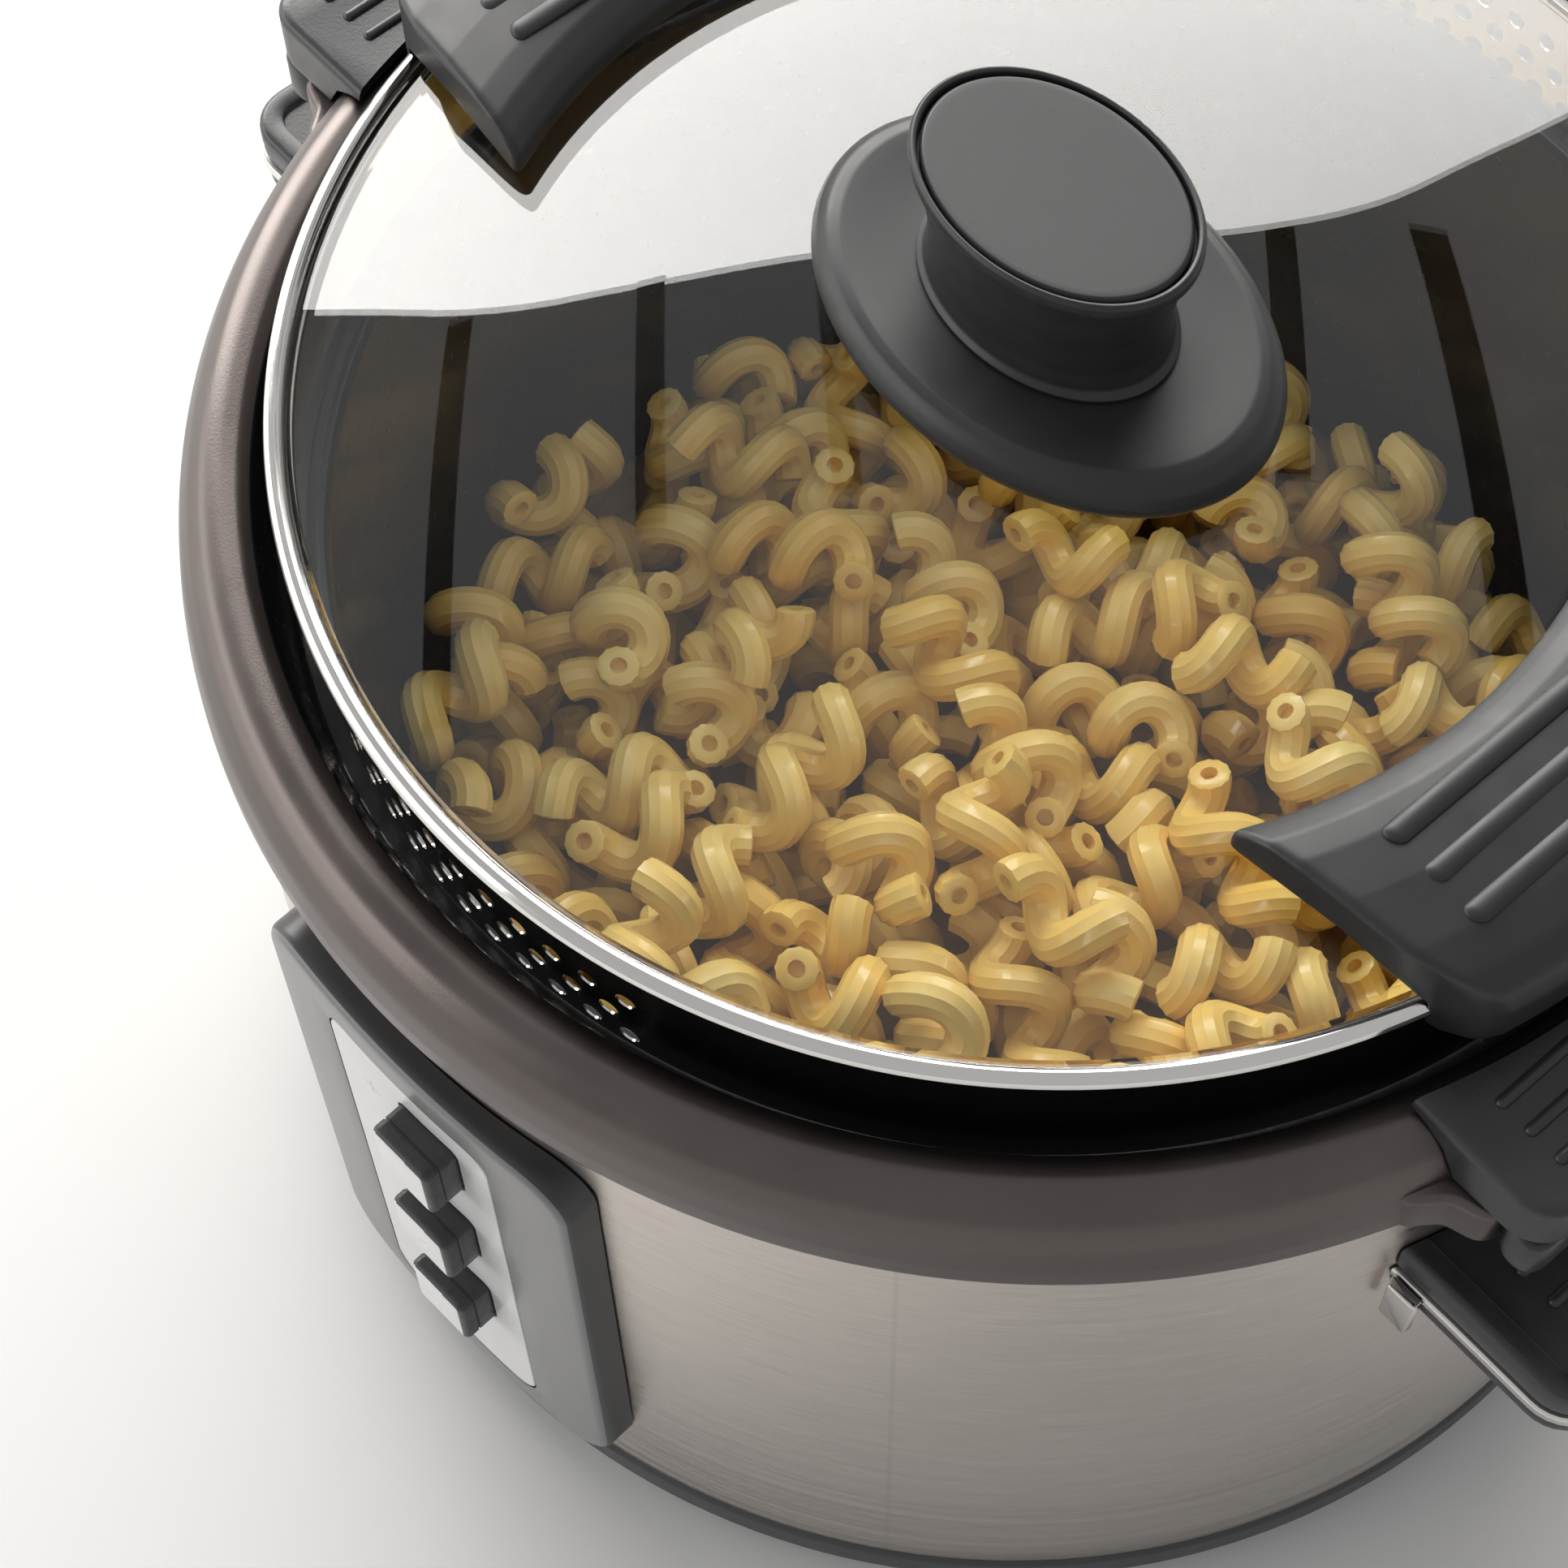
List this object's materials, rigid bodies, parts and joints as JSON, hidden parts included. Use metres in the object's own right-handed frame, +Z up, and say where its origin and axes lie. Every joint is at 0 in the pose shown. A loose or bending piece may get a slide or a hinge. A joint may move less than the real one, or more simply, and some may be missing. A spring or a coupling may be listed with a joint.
{
  "type": "pot of cavatappi pasta",
  "caption": "Cooked corkscrew pasta heaped in a cast pot that stands in a steel-banded electric cooker body, under a domed glass lid with a strainer ring and an oval knob.",
  "frame": {"origin": "middle of the footprint box, which is also the middle of the round footprint, on the table plane under the rubber feet", "axes": "+Z up; +X and -X toward the two handles and lid grips; -Y toward the control panel"},
  "size_m": [0.33, 0.2897, 0.2457],
  "materials": {
    "rubber": "dull",
    "base_plastic": "matt",
    "steel": "brushed along the band",
    "panel_plastic": "satin light grey",
    "membrane": "satin",
    "button_plastic": "fine grain",
    "handle_plastic": "satin black",
    "bright_trim": "polished",
    "pot_metal": "metallic bronze-grey outside, dark non-stick inside",
    "pasta": "moist, smooth",
    "lid_steel": "polished",
    "glass": "clear",
    "soft_plastic": "soft matt"
  },
  "bodies": {
    "cooker": {"foot_front_right": "rubber", "foot_back_right": "rubber", "foot_back_left": "rubber", "foot_front_left": "rubber", "base": "base_plastic", "steel_band": "steel", "panel": "panel_plastic", "panel_inset": "membrane", "side_handle_top_right": "handle_plastic", "side_handle_top_left": "handle_plastic", "side_handle_bottom_right": "handle_plastic", "side_handle_bottom_left": "handle_plastic", "side_handle_trim_right": "bright_trim", "side_handle_trim_left": "bright_trim", "trim_clip_a_right": "bright_trim", "trim_clip_a_left": "bright_trim", "trim_clip_b_right": "bright_trim", "trim_clip_b_left": "bright_trim", "pot": "pot_metal", "pot_handle_top_right": "handle_plastic", "pot_handle_top_left": "handle_plastic", "pot_handle_bottom_right": "handle_plastic", "pot_handle_bottom_left": "handle_plastic", "pasta": "pasta", "lid_ring": "lid_steel", "lid_glass": "glass", "knob_plate": "soft_plastic", "knob_stem": "soft_plastic", "knob_insert": "soft_plastic", "lid_grip_right": "soft_plastic", "lid_grip_left": "soft_plastic", "power_inlet": "base_plastic"},
    "button_top": {"button_top": "button_plastic"},
    "button_middle": {"button_middle": "button_plastic"},
    "button_bottom": {"button_bottom": "button_plastic"}
  },
  "joints": [
    {"name": "button_top_press", "type": "slide", "parent": "cooker", "child": "button_top", "axis": [-0.0523, 0.9986, 0], "range_m": [0, 0.0012], "stiffness_N_per_m": 600},
    {"name": "button_middle_press", "type": "slide", "parent": "cooker", "child": "button_middle", "axis": [-0.0523, 0.9986, 0], "range_m": [0, 0.0012], "stiffness_N_per_m": 600},
    {"name": "button_bottom_press", "type": "slide", "parent": "cooker", "child": "button_bottom", "axis": [-0.0523, 0.9986, 0], "range_m": [0, 0.0012], "stiffness_N_per_m": 600}
  ]
}
